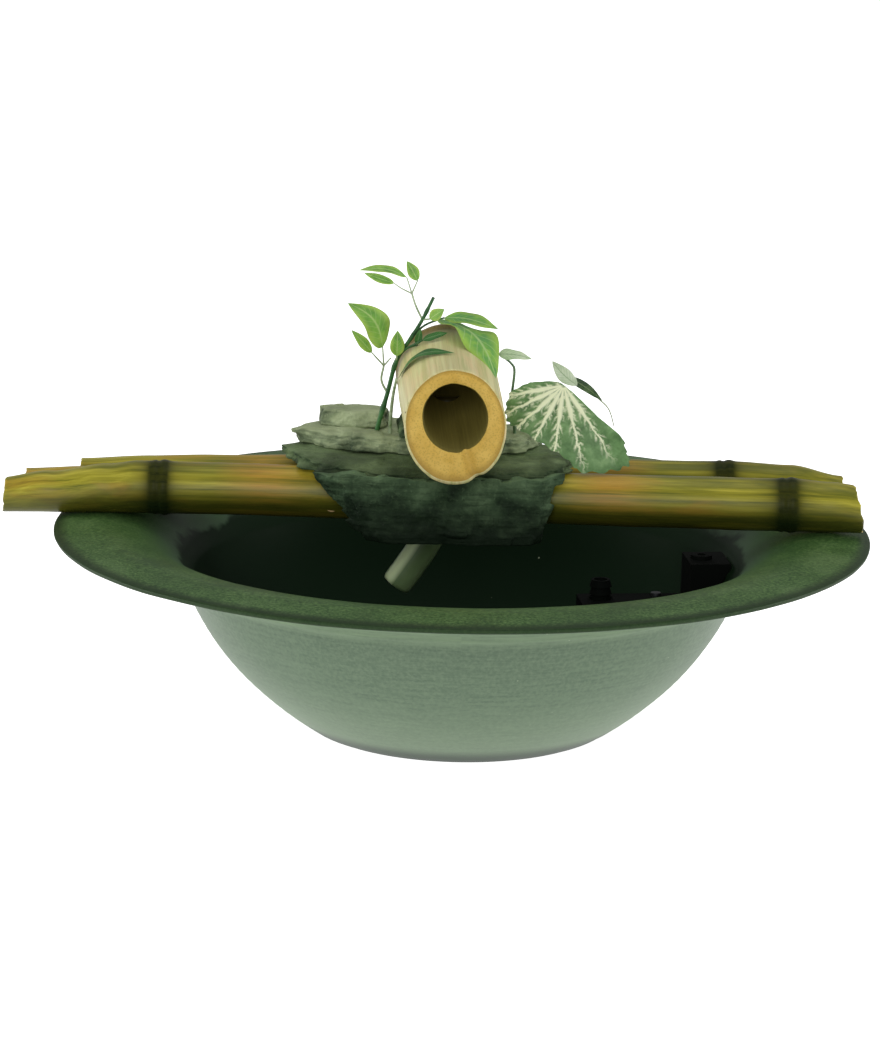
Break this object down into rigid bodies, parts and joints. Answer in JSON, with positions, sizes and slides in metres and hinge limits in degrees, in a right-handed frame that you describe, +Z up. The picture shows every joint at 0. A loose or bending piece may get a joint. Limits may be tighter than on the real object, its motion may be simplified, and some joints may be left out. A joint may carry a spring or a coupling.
{
  "type": "zen fountain",
  "caption": "Table-top zen fountain: wide-rimmed glazed bowl bridged by bamboo canes that carry slates, a bamboo spout and leaf sprigs, with a small submersible pump on the bowl's wall",
  "frame": {"origin": "centre of the bowl's flat foot, on the ground", "axes": "+Z up, -Y towards the viewer in front of the spout's mouth, +X along the canes to the viewer's right"},
  "size_m": [0.3253, 0.3, 0.171],
  "materials": {
    "glaze": "gloss, speckled reactive glaze",
    "cane": "satin bamboo skin",
    "cane_pale": "satin bamboo skin",
    "dowel": "plain turned wood",
    "slate": "split face, rough",
    "slate_dark": "split face, rough",
    "spout_bamboo": "satin bamboo skin with sawn mouth",
    "hose_rubber": "smooth translucent grey green",
    "stem": "soft green bark",
    "stem_pale": "soft pale green",
    "leaf_fresh": "artificial leaf, satin",
    "leaf_dark": "artificial leaf, satin",
    "leaf_variegated": "artificial leaf, satin, cream veins",
    "pump_plastic": "fine moulded grain",
    "dial_plastic": "moulded",
    "impeller_plastic": "moulded",
    "box_plastic": "fine moulded grain",
    "seal_rubber": "smooth",
    "cup_rubber": "smooth",
    "gland_rubber": "smooth",
    "magnet": "sintered, ground",
    "ceramic_shaft": "ground",
    "core_steel": "laminated",
    "coil_copper": "enamelled winding",
    "screw_steel": "plain"
  },
  "bodies": {
    "bowl": {"bowl": "glaze", "pump_housing": "pump_plastic", "rotor_shaft": "ceramic_shaft", "rear_bush": "seal_rubber", "stator_core": "core_steel", "stator_coils": "coil_copper", "housing_cap": "pump_plastic", "outlet_spigot": "pump_plastic", "terminal_box": "box_plastic", "terminal_lid": "box_plastic", "cable_gland": "gland_rubber", "suction_cups": "cup_rubber", "cap_screws": "screw_steel"},
    "raft": {"cane_front": "cane", "cane_middle": "cane_pale", "cane_rear": "cane", "cross_pins": "dowel", "slate_front": "slate_dark", "slate_ledge": "slate", "slate_upper": "slate", "slate_cap": "slate", "spout": "spout_bamboo", "water_hose": "hose_rubber", "sprig_stem": "stem", "sprig_leaves": "leaf_fresh", "pale_stem": "stem_pale", "spout_leaf": "leaf_dark", "crest_leaves": "leaf_fresh", "side_stem": "stem", "side_leaf": "leaf_variegated", "heart_leaf": "leaf_variegated", "back_leaf": "leaf_fresh"},
    "cover": {"chamber_cover": "pump_plastic", "cover_seal": "seal_rubber", "front_bush": "seal_rubber"},
    "dial": {"flow_dial": "dial_plastic"},
    "rotor": {"impeller": "impeller_plastic", "rotor_magnet": "magnet"}
  },
  "joints": [
    {"name": "raft_lift", "type": "slide", "parent": "bowl", "child": "raft", "axis": [0, 0, 1], "range_m": [0, 0.08]},
    {"name": "cover_pull", "type": "slide", "parent": "bowl", "child": "cover", "axis": [-0.9945, -0.1045, 0], "range_m": [0, 0.015]},
    {"name": "dial_turn", "type": "hinge", "parent": "cover", "child": "dial", "pos_m": [0.04475, 0.0047, 0.031], "axis": [0.9945, 0.1045, 0], "range_deg": [0, 60]},
    {"name": "rotor_spin", "type": "hinge", "parent": "bowl", "child": "rotor", "pos_m": [0.05967, 0.00627, 0.031], "axis": [0.9945, 0.1045, 0], "continuous": true}
  ]
}
